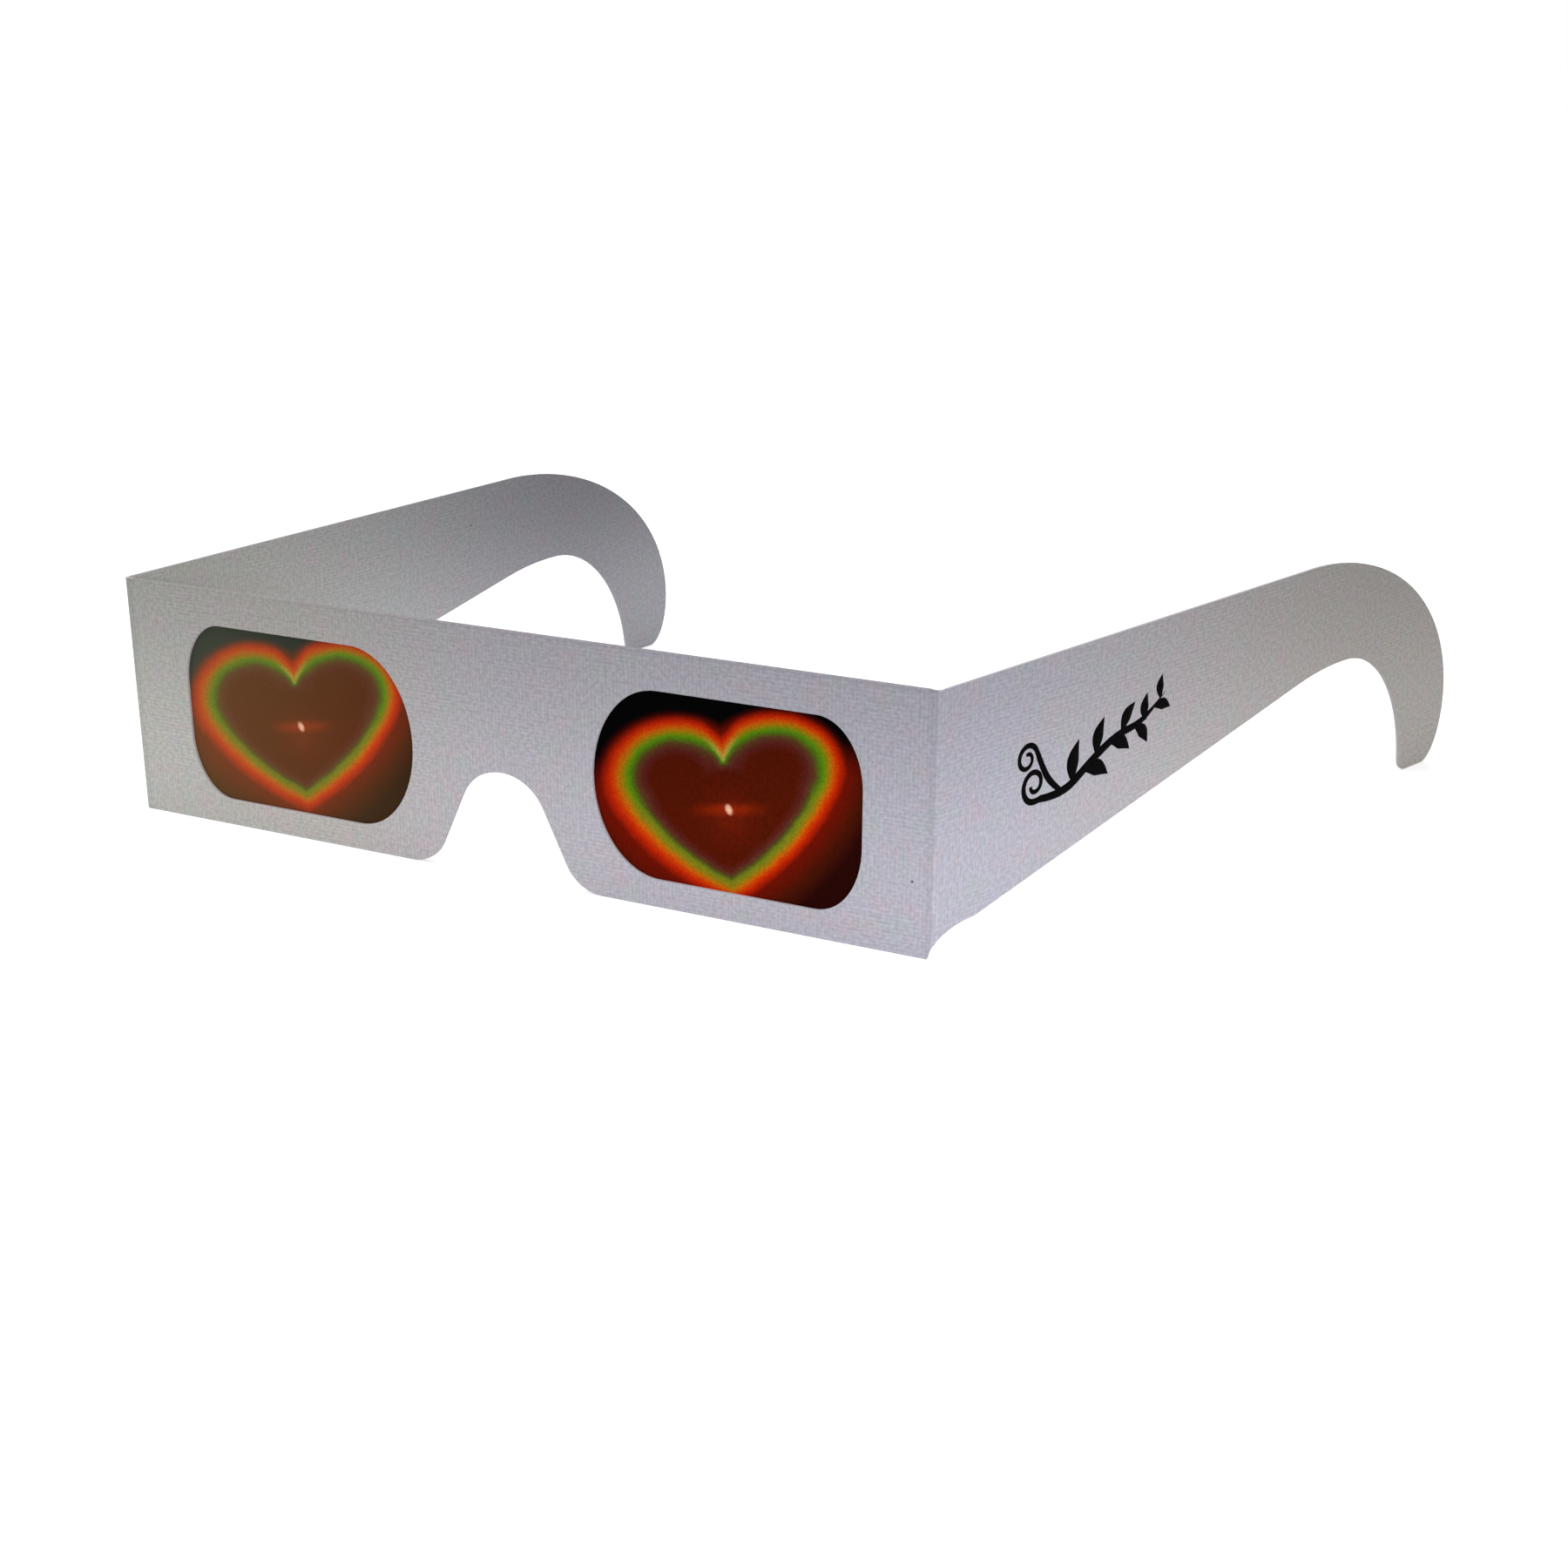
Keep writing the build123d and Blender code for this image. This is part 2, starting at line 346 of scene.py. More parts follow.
# Back flap: the inner ply, which faces the wearer. It is cut a little smaller than the
# front, so that it doesn't show, and is glued down over the films.
flap = board_piece(
    "back_flap_board",
    merged_copy("back_flap"),
    lambda co: Vector((0, 1, 0)),
    lambda co: (co.x, 2 * fold_middle.z + over_fold - co.z),
    lambda co: co.z > fold_middle.z - seam,
)
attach(flap, "front")
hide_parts("back_flap")

# Temples: the two ends of the blank, folded back at the creases, each with its ear hook.
# Their printed side faces out and the sheet's reverse faces the wearer's head.
hinge_side = 67.725 * mm
hinge_back = 0.775 * mm
root_hollow = 0.815 * mm  # radius of the hollow at a temple's root, round its crease


class Fold:
    """A crease of the blank, turned by its angle, and the temple that runs on from it."""

    def __init__(self, side, angle):
        self.side = side
        self.angle = angle
        self.foot = Vector((side * hinge_side, hinge_back, 0))
        self.along = Vector((side * cos(angle), sin(angle), 0))

    def turn(self, co):
        """How far the sheet has turned at a point, from 0 in the front to the angle."""
        reach = co - self.foot
        bearing = atan2(self.side * reach.x, -reach.y)
        if bearing < -pi / 2:
            bearing += 2 * pi
        return min(max(bearing, 0), self.angle)

    def out(self, co):
        """The printed side's outward direction at a point."""
        turn = self.turn(co)
        return Vector((self.side * sin(turn), -cos(turn), 0))

    def flat(self, co):
        """Where a point lay on the flat blank."""
        reach = co - self.foot
        turn = self.turn(co)
        straight = self.side * reach.x if turn == 0 else 0
        if turn == self.angle:
            straight = reach.dot(self.along)
        return self.side * (hinge_side + hinge_back * turn + straight), co.z


folds = {"left": Fold(1, radians(69.0)), "right": Fold(-1, radians(101.6))}
for name, fold in folds.items():
    outward = fold.out(fold.foot + fold.along)
    temple = board_piece(
        f"{name}_temple_board",
        merged_copy(f"{name}_temple"),
        lambda co: outward,
        fold.flat,
        lambda co: (co - fold.foot).xy.length < root_hollow + seam,
    )
    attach(temple, f"{name}_temple")
    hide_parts(f"{name}_temple")

# Creases: a scored strip at each end of the front, bent from the front into the temple. The sheet stays
# whole through it, and its lower end is cut away in a round clearance. Inside, the crushed ply stands up
# in a low bead.
front_top = 38.1 * mm
# Where the clearance starts: at the left end before the bend, and at the right end within
# it, which leaves the front's lower corner whole
relief_starts = {"left": 67.4 * mm, "right": 68.4 * mm}
relief_reach = 9.6 * mm  # half the width of the clearance's ellipse
relief_height = 4.3 * mm
relief_root = 1.1 * mm + hinge_back  # from the ellipse's end to the crease axis, folded
corner_radius = 0.35 * mm
crease_bead = 0.2 * mm
flat_steps = 11
bend_steps = 14
up = Vector((0, 0, 1))


def crease_strip(fold, relief_start):
    """The bent strip as a bmesh: its section is drawn out flat, spun round the crease and
    raised to the front's height."""
    bm = bmesh.new()
    start = Vector((fold.side * stiff_half, 0, 0))
    ends = [bm.verts.new(start), bm.verts.new(start + Vector((0, board, 0)))]
    section = [*ends, bm.edges.new(ends)]
    step = Vector((fold.side * (hinge_side - stiff_half) / flat_steps, 0, 0))
    turned = bmesh.ops.spin(
        bm, geom=section, cent=fold.foot, axis=up, dvec=step, angle=0, steps=flat_steps
    )
    turned = bmesh.ops.spin(
        bm,
        geom=turned["geom_last"],
        cent=fold.foot,
        axis=up * fold.side,
        angle=fold.angle,
        steps=bend_steps,
    )
    root = root_hollow - seam
    root_outer = sqrt(root**2 - hinge_back**2)
    root_inner = sqrt(root**2 - (hinge_back - board) ** 2)
    turned = bmesh.ops.spin(
        bm,
        geom=turned["geom_last"],
        cent=fold.foot,
        axis=up,
        dvec=fold.along * root_outer,
        angle=0,
        steps=1,
    )
    for v in turned["geom_last"]:
        if isinstance(v, bmesh.types.BMVert) and (v.co - fold.foot).length < root - seam:
            v.co += fold.along * (root_inner - root_outer)
    for v in bm.verts:
        turn = fold.turn(v.co)
        reach = v.co - fold.foot
        if 0 < turn < fold.angle and reach.length < hinge_back - seam:
            v.co -= reach.normalized() * crease_bead * sin(pi * turn / fold.angle) ** 2
    raised = bmesh.ops.extrude_face_region(bm, geom=bm.faces[:], use_keep_orig=True)
    for v in raised["geom"]:
        if isinstance(v, bmesh.types.BMVert):
            v.co.z = front_top
    root_place = hinge_side + hinge_back * fold.angle + root_outer
    stretch = (relief_root + root_outer) / (root_place - relief_start)
    for v in bm.verts:
        if v.co.z > 0:
            continue
        past = (abs(fold.flat(v.co)[0]) - relief_start) * stretch
        if past > 0:
            v.co.z = max(relief_height * sqrt(1 - (1 - past / relief_reach) ** 2), corner_radius)
        elif past > -corner_radius:
            v.co.z = corner_radius - sqrt(corner_radius**2 - (past + corner_radius) ** 2)
    bmesh.ops.recalc_face_normals(bm, faces=bm.faces)
    return bm


for name, fold in folds.items():
    strip = board_piece(
        f"{name}_crease_strip",
        crease_strip(fold, relief_starts[name]),
        fold.out,
        fold.flat,
        lambda co: abs(co.x) < stiff_half + seam
        or (fold.turn(co) == fold.angle and (co - fold.foot).dot(fold.along) > seam),
    )
    middle = hinge_back - board / 2
    fold.foot + fold.out(fold.foot + fold.along) * middle
    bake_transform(strip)
    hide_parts(f"{name}_crease")

# Films: two rectangles of embossed polyester diffraction film, caught between the plies. A
# point of light seen through one is spread into a heart of rainbow rings. Held only at its
# edges, the film isn't quite flat.
film = 0.1 * mm
film_grid = 1 * mm
film_ripple = 0.12 * mm
ripples_across, ripples_up, ripple_slant = 4.1, 2.3, 1.7
lens_half = Vector((21.0, 0, 14.1)) * mm
# Per film, in millimetres: the point of light, and the heart of green light round it. Each half of the
# heart is a round lobe and a flatter side that leaves the lobe at its turn. The whole is squeezed in
# height, leant and tilted. The last entry is a painted reflection: a pale veil of reflected light over
# the film, strongest at its outer edge and fading to its inner.
hearts = {
    "left": {
        "light": (37.06, 16.54),
        "middle": (36.35, 21.67),
        "lobe": 8.0,
        "apart": 0.95,
        "turn": -21.8,
        "side": 4.93,
        "squeeze": 1.3,
        "lean": 0.075,
        "tilt": -0.274,
        "reflected_haze": (0.0, 0.0),
    },
    "right": {
        "light": (-36.24, 18.2),
        "middle": (-36.82, 22.77),
        "lobe": 8.68,
        "apart": 0.93,
        "turn": -27.4,
        "side": 5.0,
        "squeeze": 1.35,
        "lean": 0.042,
        "tilt": -0.236,
        "reflected_haze": (0.26, 0.085),
    },
}
# The light's colour by how far, in millimetres, a point lies outside the green heart
rainbow = [
    (-4.0, "521403"),
    (-2.6, "58201A"),
    (-1.5, "573B1E"),
    (-0.8, "506616"),
    (-0.2, "52860C"),
    (0.3, "7A840E"),
    (1.4, "C2600A"),
    (2.0, "CA3E05"),
    (2.7, "BE2404"),
    (4.1, "6E1003"),
    (8.0, "481204"),
    (12.0, "260604"),
]


def outside_heart(tree, place, heart):
    """How far a place on the film lies outside the green heart, in lobe radii, with where it
    lies on the heart: across and to the right of its middle line, and above its lobes' middle."""
    middle_x, middle_z = heart["middle"]
    sockets = [place, (middle_x, 0, middle_z)]
    from_middle = add(tree, "ShaderNodeVectorMath", sockets, operation="SUBTRACT")
    sockets = {0: from_middle, "Scale": 1 / heart["lobe"]}
    from_middle = add(tree, "ShaderNodeVectorMath", sockets, operation="SCALE")
    sockets = [from_middle, (1, 0, heart["lean"])]
    right = add(tree, "ShaderNodeVectorMath", sockets, operation="DOT_PRODUCT")
    sockets = [from_middle, (heart["tilt"], 0, heart["squeeze"])]
    rise = add(tree, "ShaderNodeVectorMath", sockets, operation="DOT_PRODUCT")
    across = add(tree, "ShaderNodeMath", [right], operation="ABSOLUTE")
    here = add(tree, "ShaderNodeCombineXYZ", [across, rise])

    turn = radians(heart["turn"])
    lobe_middle = Vector((heart["apart"], 0, 0))
    outwards = Vector((cos(turn), sin(turn), 0))
    side_middle = lobe_middle - outwards * (heart["side"] - 1)
    from_lobe = add(tree, "ShaderNodeVectorMath", [here, lobe_middle], operation="DISTANCE")
    from_lobe = add(tree, "ShaderNodeMath", [from_lobe, 1.0], operation="SUBTRACT")
    from_side = add(tree, "ShaderNodeVectorMath", [here, side_middle], operation="DISTANCE")
    from_side = add(tree, "ShaderNodeMath", [from_side, heart["side"]], operation="SUBTRACT")

    # Straight under the cusp, where the two lobes meet, the cusp itself is the nearest
    cusp = Vector((0, sqrt(1 - heart["apart"] ** 2), 0))
    from_cusp = add(tree, "ShaderNodeVectorMath", [here, cusp], operation="DISTANCE")
    from_cusp = add(tree, "ShaderNodeMath", [from_cusp, -1.0], operation="MULTIPLY")
    from_side = add(tree, "ShaderNodeMath", [from_side, from_cusp], operation="MAXIMUM")

    sockets = [here, (outwards.y, -outwards.x, 0)]
    past_turn = add(tree, "ShaderNodeVectorMath", sockets, operation="DOT_PRODUCT")
    sockets = [past_turn, heart["apart"] * outwards.y]
    past_turn = add(tree, "ShaderNodeMath", sockets, operation="GREATER_THAN")
    below_cusp = add(tree, "ShaderNodeMath", [rise, cusp.y], operation="LESS_THAN")
    on_side = add(tree, "ShaderNodeMath", [past_turn, below_cusp], operation="MULTIPLY")
    away = add(tree, "ShaderNodeMix", {0: on_side, 2: from_lobe, 3: from_side})
    return away, across, right, rise


def ring_colour(tree, away, across, right, rise, cloud):
    """The rings' colour by how far away a place is from the green, in millimetres, with how
    much it lies in the dark above the heart."""
    # Outside the green, the rings are closer together on the right than on the left. Low down
    # the green is narrower, and under the notch between the lobes it narrows to nothing
    closer = add(tree, "ShaderNodeMath", [right, 0.08, 1.05], operation="MULTIPLY_ADD")
    outside = add(tree, "ShaderNodeMath", [away, 0.0], operation="MAXIMUM")
    outside = add(tree, "ShaderNodeMath", [outside, closer], operation="MULTIPLY")
    near_middle = add(tree, "ShaderNodeMapRange", [across, 0.4, 0.0], **eased)
    near_notch = add(tree, "ShaderNodeMapRange", [rise, -0.4, 0.1], **eased)
    under_notch = add(tree, "ShaderNodeMath", [near_middle, near_notch], operation="MULTIPLY")
    low_down = add(tree, "ShaderNodeMapRange", [rise, -0.2, -1.0], **eased)
    narrower = add(tree, "ShaderNodeMath", [low_down, 0.35, 1.0], operation="MULTIPLY_ADD")
    narrower = add(tree, "ShaderNodeMath", [under_notch, 0.8, narrower], operation="MULTIPLY_ADD")
    inside = add(tree, "ShaderNodeMath", [away, 0.0], operation="MINIMUM")
    inside = add(tree, "ShaderNodeMath", [inside, narrower], operation="MULTIPLY")
    away = add(tree, "ShaderNodeMath", [outside, inside], operation="ADD")

    high_up = add(tree, "ShaderNodeMapRange", [rise, -0.3, 0.7], **eased)
    past_rings = add(tree, "ShaderNodeMapRange", [away, 2.3, 5.0], **eased)
    dark = add(tree, "ShaderNodeMath", [high_up, past_rings], operation="MULTIPLY")

    # In the notch the rings are closest together, and a little further in
    over_middle = add(tree, "ShaderNodeMapRange", [across, 0.4, 0.05], **eased)
    over_cusp = add(tree, "ShaderNodeMapRange", [rise, 0.1, 0.4], **eased)
    notch = add(tree, "ShaderNodeMath", [over_middle, over_cusp], operation="MULTIPLY")
    closer = add(tree, "ShaderNodeMath", [notch, 0.3, 1.0], operation="MULTIPLY_ADD")
    further = add(tree, "ShaderNodeMath", [notch, 0.35], operation="MULTIPLY")
    away = add(tree, "ShaderNodeMath", [away, closer, further], operation="MULTIPLY_ADD")
    stray = 0.8  # the span in which the cloudiness can shift a ring
    waver = add(tree, "ShaderNodeMath", [cloud, stray, -stray / 2], operation="MULTIPLY_ADD")
    away = add(tree, "ShaderNodeMath", [away, waver], operation="ADD")

    first, last = rainbow[0][0], rainbow[-1][0]
    rings = add(tree, "ShaderNodeValToRGB", [add(tree, "ShaderNodeMapRange", [away, first, last])])
    fill_ramp(rings, [((ring - first) / (last - first), colour) for ring, colour in rainbow])
    sockets = {0: dark, 6: rings, 7: linear("020101")}
    colour = add(tree, "ShaderNodeMix", sockets, data_type="RGBA")

    # Low down the green is more of an olive, and in the notch its outer edge is pale
    from_green = add(tree, "ShaderNodeMath", [away], operation="ABSOLUTE")
    olive = add(tree, "ShaderNodeMapRange", [from_green, 1.2, 0.0, 0.0, 0.6], **eased)
    olive = add(tree, "ShaderNodeMath", [olive, low_down], operation="MULTIPLY")
    sockets = {0: olive, 6: colour, 7: linear("86721E")}
    colour = add(tree, "ShaderNodeMix", sockets, data_type="RGBA")
    from_edge = add(tree, "ShaderNodeMath", [away, 0.5], operation="SUBTRACT")
    from_edge = add(tree, "ShaderNodeMath", [from_edge], operation="ABSOLUTE")
    pale = add(tree, "ShaderNodeMapRange", [from_edge, 1.1, 0.0, 0.0, 0.9], **eased)
    pale = add(tree, "ShaderNodeMath", [pale, notch], operation="MULTIPLY")
    sockets = {0: pale, 6: colour, 7: linear("74643C")}
    colour = add(tree, "ShaderNodeMix", sockets, data_type="RGBA", blend_type="ADD")
    return colour, dark


def with_light(tree, place, light, colour):
    """A colour with the point of light over it: a small bright tilted spot, with a halo just
    under it and a glow drawn out sideways. All is in millimetres."""
    light_x, light_z = light
    sockets = [place, (light_x, 0, light_z)]
    from_light = add(tree, "ShaderNodeVectorMath", sockets, operation="SUBTRACT")
    x, _, z = add(tree, "ShaderNodeSeparateXYZ", [from_light]).outputs

    halo_below, halo_reach = 1.2, 8.0
    halo = add(tree, "ShaderNodeCombineXYZ", [x, z])
    halo = add(tree, "ShaderNodeVectorMath", [halo, (0, -halo_below, 0)], operation="DISTANCE")
    halo = add(tree, "ShaderNodeMath", [halo, halo_reach], operation="DIVIDE")
    halo = add(tree, "ShaderNodeValToRGB", [halo])
    fill_ramp(halo, [(0.0, "440A03"), (0.2, "3A0802"), (0.35, "240202"), (0.7, "000000")])
    sockets = {0: 1.0, 6: colour, 7: halo}
    lit = add(tree, "ShaderNodeMix", sockets, data_type="RGBA", blend_type="ADD")

    glow_reach, glow_rise, glow_slope = 7.5, 1.4, 0.17
    glow_x = add(tree, "ShaderNodeMath", [x], operation="ABSOLUTE")
    glow_x = add(tree, "ShaderNodeMapRange", [glow_x, glow_reach, 1.0], **eased)
    glow_z = add(tree, "ShaderNodeMath", [x, -glow_slope, z], operation="MULTIPLY_ADD")
    glow_z = add(tree, "ShaderNodeMath", [glow_z], operation="ABSOLUTE")
    glow_z = add(tree, "ShaderNodeMapRange", [glow_z, glow_rise, 0.0], **eased)
    glow = add(tree, "ShaderNodeMath", [glow_x, glow_z], operation="MULTIPLY")
    sockets = {0: glow, 6: lit, 7: linear("6A1600")}
    lit = add(tree, "ShaderNodeMix", sockets, data_type="RGBA", blend_type="ADD")

    spot_edge, spot_core = 0.75, 0.2
    spot_tilt, spot_squeeze = 0.22, 0.75
    spot_x = add(tree, "ShaderNodeMath", [z, spot_tilt, x], operation="MULTIPLY_ADD")
    spot_z = add(tree, "ShaderNodeMath", [z, spot_squeeze], operation="MULTIPLY")
    spot = add(tree, "ShaderNodeCombineXYZ", [spot_x, spot_z])
    spot = add(tree, "ShaderNodeVectorMath", [spot], operation="LENGTH")
    spot = add(tree, "ShaderNodeMapRange", [spot, spot_edge, spot_core], **eased)
    return add(tree, "ShaderNodeMix", {0: spot, 6: lit, 7: linear("F6BC9C")}, data_type="RGBA")


def heart_film(name, heart):
    """Clear polyester film over a relief too fine to see. It gives the eye a dark pane with
    a glowing rainbow heart round one bright point. The light drowns the pane's own gloss,
    which is why its shine is set low."""
    made, tree, shader = start_material(f"{name}_diffraction_film")
    place = add(tree, "ShaderNodeTexCoord").outputs["Object"]
    place = add(tree, "ShaderNodeVectorMath", {0: place, "Scale": 1 / mm}, operation="SCALE")
    away, across, right, rise = outside_heart(tree, place, heart)
    away = add(tree, "ShaderNodeMath", [away, heart["lobe"]], operation="MULTIPLY")
    cloud_size, grain_size = 3.0, 0.4
    cloud = add(tree, "ShaderNodeTexNoise", {"Vector": place, "Scale": 1 / cloud_size, "Detail": 3.0})
    colour, dark = ring_colour(tree, away, across, right, rise, cloud)
    lit = with_light(tree, place, heart["light"], colour)

    # A fine grain, and a little less light towards the top
    grain = add(tree, "ShaderNodeTexNoise", {"Vector": place, "Scale": 1 / grain_size, "Detail": 1.0})
    grain = add(tree, "ShaderNodeMapRange", [grain, 0.3, 0.7, 0.88, 1.12], **eased)
    tone = add(tree, "ShaderNodeMapRange", [rise, -1.6, 1.0, 1.06, 0.86], **eased)
    tone = add(tree, "ShaderNodeMath", [grain, tone], operation="MULTIPLY")
    lit = add(tree, "ShaderNodeHueSaturation", {"Value": tone, "Color": lit})
    # Painted reflection: a pale veil of reflected light laid over the film's colours, strongest at its
    # outer edge
    if any(heart["reflected_haze"]):
        middle, half = heart["middle"][0], lens_half.x / mm
        x = add(tree, "ShaderNodeSeparateXYZ", [place]).outputs["X"]
        reflected_haze = add(tree, "ShaderNodeMapRange", [x, middle - half, middle + half, *heart["reflected_haze"]])
        sockets = {0: dark, 6: linear("9A8254"), 7: linear("818875")}
        painted_reflection = add(tree, "ShaderNodeMix", sockets, data_type="RGBA")
        lit = add(tree, "ShaderNodeMix", {0: reflected_haze, 6: lit, 7: painted_reflection}, data_type="RGBA")
    gloss = {"Roughness": 0.2, "IOR": 1.49, "Specular IOR Level": 0.01}
    finish_shader(tree, shader, lit, cloud, 0.01 * mm, gloss)
    return made


for name, side in (("left", 1), ("right", -1)):
    low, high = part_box(f"{name}_film")
    middle = (low + high) / 2
    width, _, height = high - low
    bm = bmesh.new()
    bmesh.ops.create_grid(
        bm,
        x_segments=round(width / film_grid),
        y_segments=round(height / film_grid),
        size=0.5,
        matrix=Matrix.Translation((middle.x, low.y, middle.z))
        @ Matrix.Rotation(pi / 2, 4, "X")
        @ Matrix.Diagonal((width, height, 1, 1)),
    )
    for v in bm.verts:
        x = (v.co.x - middle.x) / lens_half.x
        z = (v.co.z - middle.z) / lens_half.z
        free = max(1 - x * x, 0) * max(1 - z * z, 0)
        ripple = sin(ripples_across * x + side) * cos(ripples_up * z + ripple_slant * x)
        v.co.y += film_ripple * free * ripple
    bmesh.ops.solidify(bm, geom=bm.faces, thickness=film)
    bmesh.ops.recalc_face_normals(bm, faces=bm.faces)
    for face in bm.faces:
        face.smooth = True
    for e in bm.edges:
        e.smooth = e.calc_face_angle(0) < soft_turn
    mesh = bpy.data.meshes.new(f"{name}_film_sheet")
    bm.to_mesh(mesh)
    bm.free()
    mesh.materials.append(heart_film(name, hearts[name]))
    sheet = bpy.data.objects.new(f"{name}_film_sheet", mesh)
    bpy.context.scene.collection.objects.link(sheet)
    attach(sheet, "front")
    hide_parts(f"{name}_film")

# Glue: a thin coat of white wood glue between the plies, which holds the back flap down over
# the films and has dried to a pale, slightly cloudy skin.
glue, tree, shader = start_material("dried_white_glue")
streak_size = 2 * mm
place = add(tree, "ShaderNodeTexCoord").outputs["Object"]
streaks = add(tree, "ShaderNodeTexNoise", {"Vector": place, "Scale": 1 / streak_size, "Detail": 3.0})
tone = add(tree, "ShaderNodeValToRGB", [streaks])
fill_ramp(tone, [(0.3, "C9C4B4"), (0.7, "DDD9CE")])
skin = {"Roughness": 0.35, "IOR": 1.46}
finish_shader(tree, shader, tone, streaks, 0.01 * mm, skin)
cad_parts["glue_layer"].material_slots[0].material = glue

# Print: a leafy sprig in black screen ink on the left temple's outer face. The ink soaks
# into the board and stands a very little proud of it, thickest along the middle of a stroke.
ink_rise_share = 0.03  # how far the ink stands proud, of a stroke's half width
curve = bpy.data.curves.new("printed_sprig", "CURVE")
curve.dimensions = "3D"
curve.bevel_depth = mm
curve.bevel_resolution = 1
curve.resolution_u = 5
curve.use_fill_caps = True


def stroke(points, widths):
    """A stroke of ink through points along and up the temple, in mm, with its width at each."""
    spline = curve.splines.new("NURBS")
    spline.points.add(len(points) - 1)
    for point, place, width in zip(spline.points, points, widths):
        point.co = (place[0] * mm, place[1] * mm, 0, 1)
        point.radius = width / 2
    spline.order_u = 3
    spline.use_endpoint_u = True


def tendril(start, heading, step, bend, width):
    """A curl that tightens and thins as it goes, from its root to a small round end."""
    steps = 15
    tightens, thins = 0.75, 0.35
    place = Vector(start)
    points = [place.copy()]
    for i in range(steps):
        place += Vector((cos(heading), sin(heading))) * step * (1 - tightens * i / steps)
        heading += bend
        points.append(place.copy())
    stroke(points, [width * (1 - thins * i / steps) for i in range(steps + 1)])


def leaf(root, heading, length, width):
    """A pointed leaf on a short stalk, bowed a little along its length."""
    stalk, tip = 0.5, 0.05
    bow_share = 0.12
    forward = Vector((cos(heading), sin(heading))) * length
    bow = forward.orthogonal() * bow_share
    shares = (0.0, 0.2, 0.45, 0.7, 1.0)
    points = [Vector(root) + forward * share + bow * sin(pi * share) for share in shares]
    stroke(points, [stalk, 0.75 * width, 1.2 * width, 0.9 * width, tip])


stem_places = ((20.4, 18.2), (25.5, 17.6), (31.0, 21.0), (37.0, 24.0), (43.5, 24.6), (48.0, 28.2))
stem = [Vector(place) for place in stem_places]
stroke(stem, [1.1, 1.4, 1.5, 1.3, 1.1, 0.1])
tendril(stem[0] + Vector((0.2, 0)), radians(190), 1.5, radians(-32), 1.0)
branch = [(25.0, 18.4), (22.8, 20.0), (21.0, 22.4), (19.8, 24.8)]
stroke(branch, [0.8, 1.1, 1.1, 1.0])
tendril(branch[-1], radians(115), 1.25, radians(32), 0.9)
leaf_shares = (0.28, 0.36, 0.46, 0.55, 0.64, 0.73, 0.81, 0.9, 0.96)
leaf_spread = radians(50)  # how far a leaf turns off the stem
for i, share in enumerate(leaf_shares):
    side = 1 if i % 2 == 0 else -1
    run = share * (len(stem) - 1)
    before, after = stem[int(run)], stem[int(run) + 1]
    root = before.lerp(after, run - int(run))
    heading = atan2(after.y - before.y, after.x - before.x) + side * leaf_spread
    length = 7.4 - 4.0 * share
    width = 2.7 - 1.2 * share
    leaf(root, heading, length, width)

drawn = bpy.data.objects.new("drawn_sprig", curve)
bpy.context.scene.collection.objects.link(drawn)
mesh = bpy.data.meshes.new_from_object(drawn)
bpy.data.objects.remove(drawn)
fold = folds["left"]
outward = fold.out(fold.foot + fold.along)
face = fold.foot + outward * hinge_back
ink_up = outward * ink_rise_share
onto_temple = Matrix.Translation(face) @ Matrix((fold.along, up, ink_up)).transposed().to_4x4()
mesh.transform(onto_temple)
mesh.shade_smooth()
ink, tree, shader = start_material("black_screen_ink")
crown_size = 0.5 * mm
place = add(tree, "ShaderNodeTexCoord").outputs["Object"]
crowns = add(tree, "ShaderNodeTexNoise", {"Vector": place, "Scale": 1 / crown_size, "Detail": 2.0})
tone = add(tree, "ShaderNodeValToRGB", [crowns])
fill_ramp(tone, [(0.3, "020202"), (0.7, "0A090B")])
dried = {"Roughness": 0.6, "IOR": 1.5, "Specular IOR Level": 0.01}
finish_shader(tree, shader, tone, crowns, 0.01 * mm, dried)
mesh.materials.clear()
mesh.materials.append(ink)
sprig = bpy.data.objects.new("printed_sprig", mesh)
bpy.context.scene.collection.objects.link(sprig)
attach(sprig, "left_temple")

# The table and the studio: a white table top and soft light from all round. Far from the
# glasses the table shines as white as the backdrop, so that no horizon shows.
bm = bmesh.new()
bmesh.ops.create_grid(bm, x_segments=1, y_segments=1, size=4.0)
mesh = bpy.data.meshes.new("table")
bm.to_mesh(mesh)
bm.free()
table = bpy.data.objects.new("table", mesh)
bpy.context.scene.collection.objects.link(table)
paint, tree, shader = start_material("white_table")


def seen_rays(tree):
    """1 for a ray that shows a surface to the camera, straight or by a gloss or a glass."""
    light_path = add(tree, "ShaderNodeLightPath").outputs
    seen = light_path["Is Camera Ray"]
    for ray in ("Is Glossy Ray", "Is Transmission Ray"):
        seen = add(tree, "ShaderNodeMath", [seen, light_path[ray]], operation="MAXIMUM")
    return seen


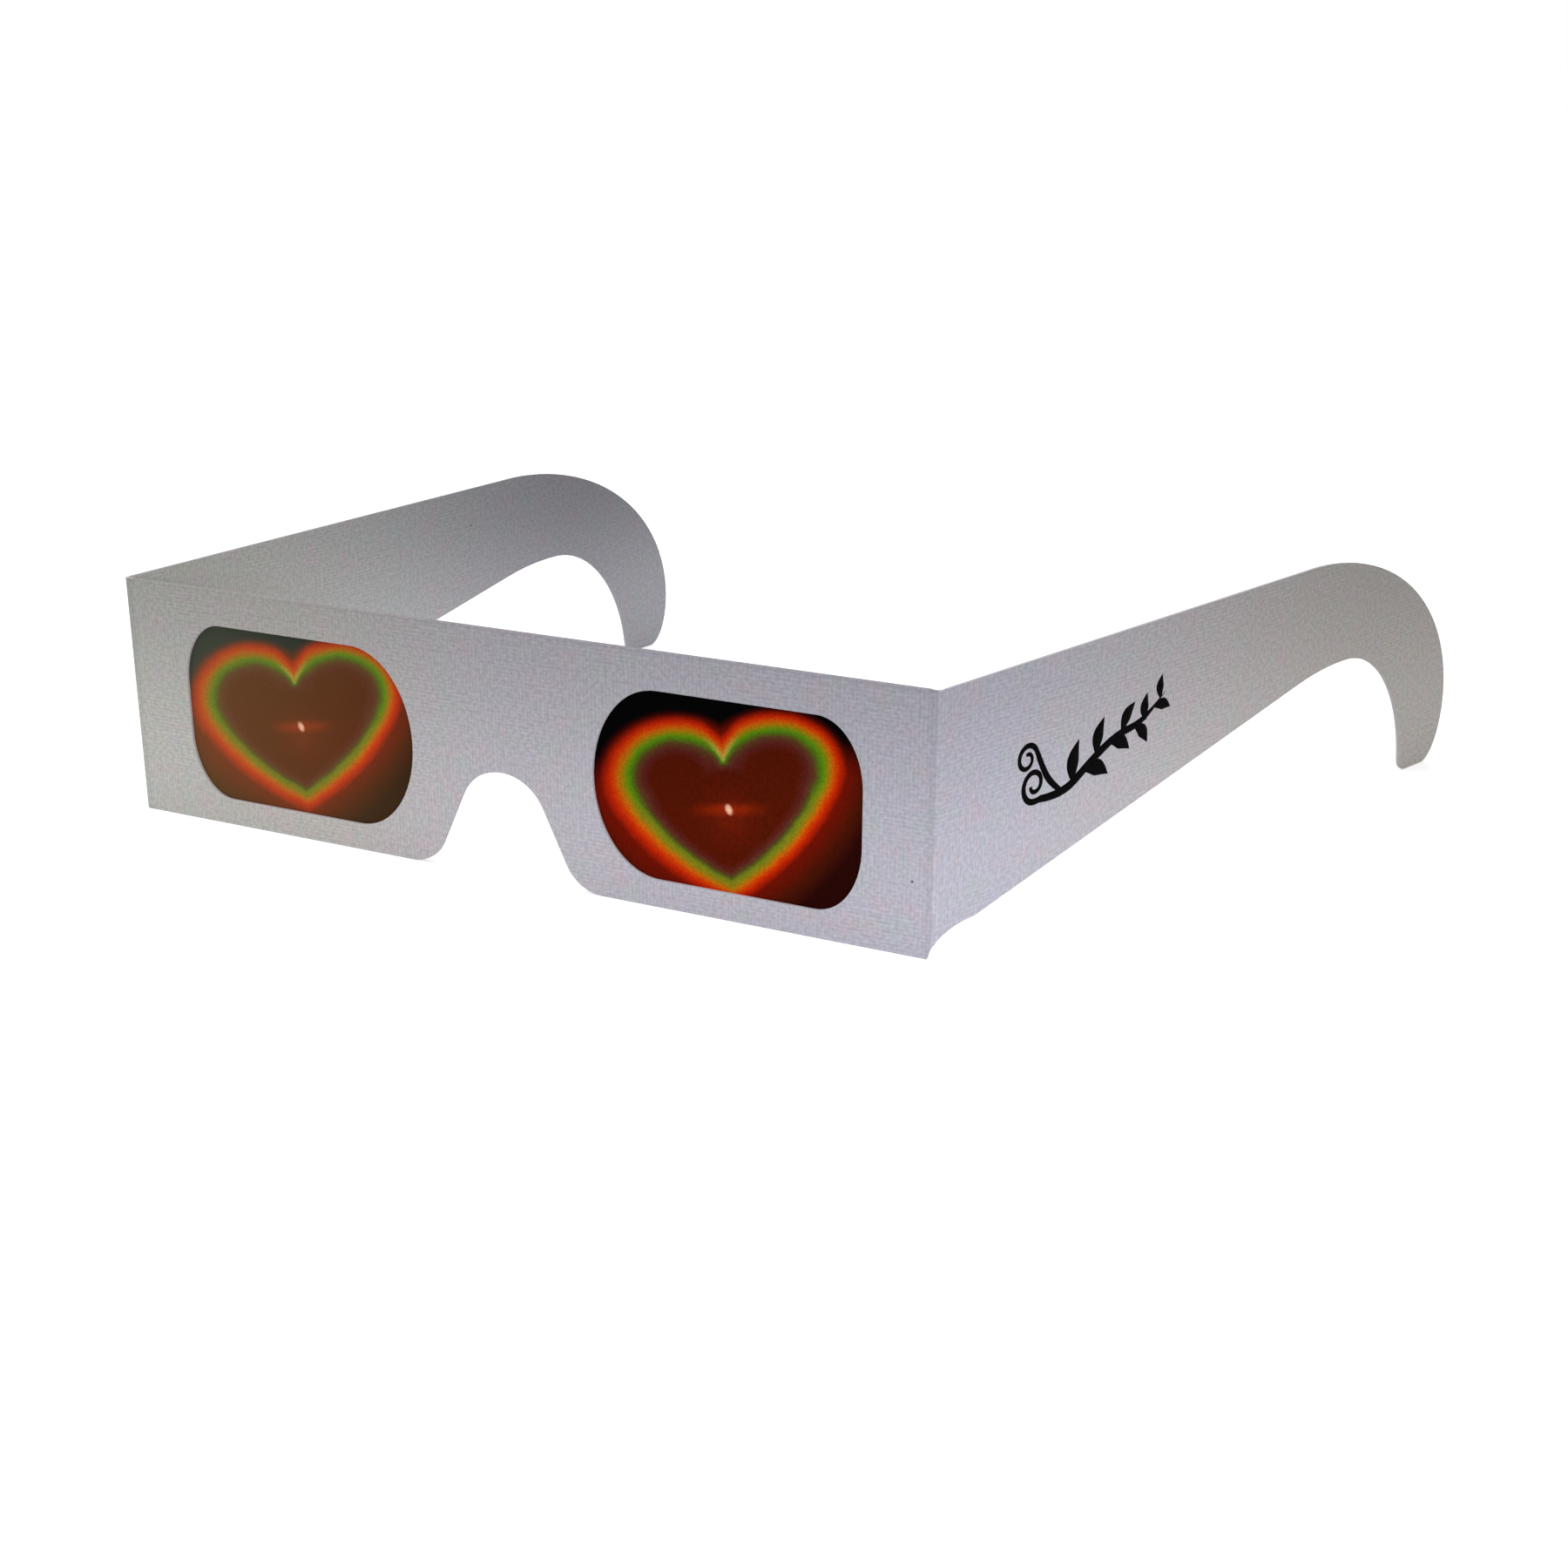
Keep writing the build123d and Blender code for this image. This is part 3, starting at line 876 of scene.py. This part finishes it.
near, far = 0.2, 0.8  # how far away, in metres, the table is dim, and as white as the backdrop
near_shine = 0.42
place = add(tree, "ShaderNodeTexCoord").outputs["Object"]
away = add(tree, "ShaderNodeVectorMath", [place], operation="LENGTH")
shine = add(tree, "ShaderNodeMapRange", [away, near, far, near_shine, 1.0], **eased)
glow = add(tree, "ShaderNodeMath", [seen_rays(tree), shine], operation="MULTIPLY")
feed(tree, shader, {"Base Color": linear("E6E6E6"), "Roughness": 1.0})
feed(tree, shader, {"Emission Color": linear("FFFFFF"), "Emission Strength": glow})
mesh.materials.append(paint)

world = bpy.data.worlds.new("studio")
bpy.context.scene.world = world
world.use_nodes = True
tree = world.node_tree
fill_light = 0.3  # what the backdrop lends as light, of how bright it looks
strength = add(tree, "ShaderNodeMapRange", [seen_rays(tree), 0.0, 1.0, fill_light, 1.0], **eased)
feed(tree, tree.nodes["Background"], {"Color": linear("FFFFFF"), "Strength": strength})

# Softboxes: place, what it points at, width and height in metres, and its share of the level
# at which a colour renders as it is written
softboxes = {
    "right_low": ((0.42, -0.08, 0.07), (0.08, 0.03, 0.02), (0.3, 0.14), 0.34),
    "by_camera": ((0.18, -0.30, 0.16), (0.0, 0.02, 0.02), (0.16, 0.16), 0.22),
    "overhead": ((0.0, 0.0, 0.6), (0.0, 0.0, 0.0), (0.6, 0.6), 0.64),
    "left_high": ((-0.4, -0.1, 0.3), (0.0, 0.05, 0.02), (0.3, 0.3), 0.30),
    "behind": ((-0.1, 0.5, 0.12), (0.0, 0.0, 0.02), (0.4, 0.2), 0.35),
}
for name, (place, target, size, level) in softboxes.items():
    throw = Vector(target) - Vector(place)
    lamp = bpy.data.lights.new(name, "AREA")
    lamp.shape = "RECTANGLE"
    lamp.size, lamp.size_y = size
    lamp.energy = level * (pi * throw.length) ** 2
    box = bpy.data.objects.new(name, lamp)
    box.location = place
    box.rotation_euler = throw.to_track_quat("-Z", "Y").to_euler()
    bpy.context.scene.collection.objects.link(box)

bpy.context.scene.view_settings.view_transform = "Standard"
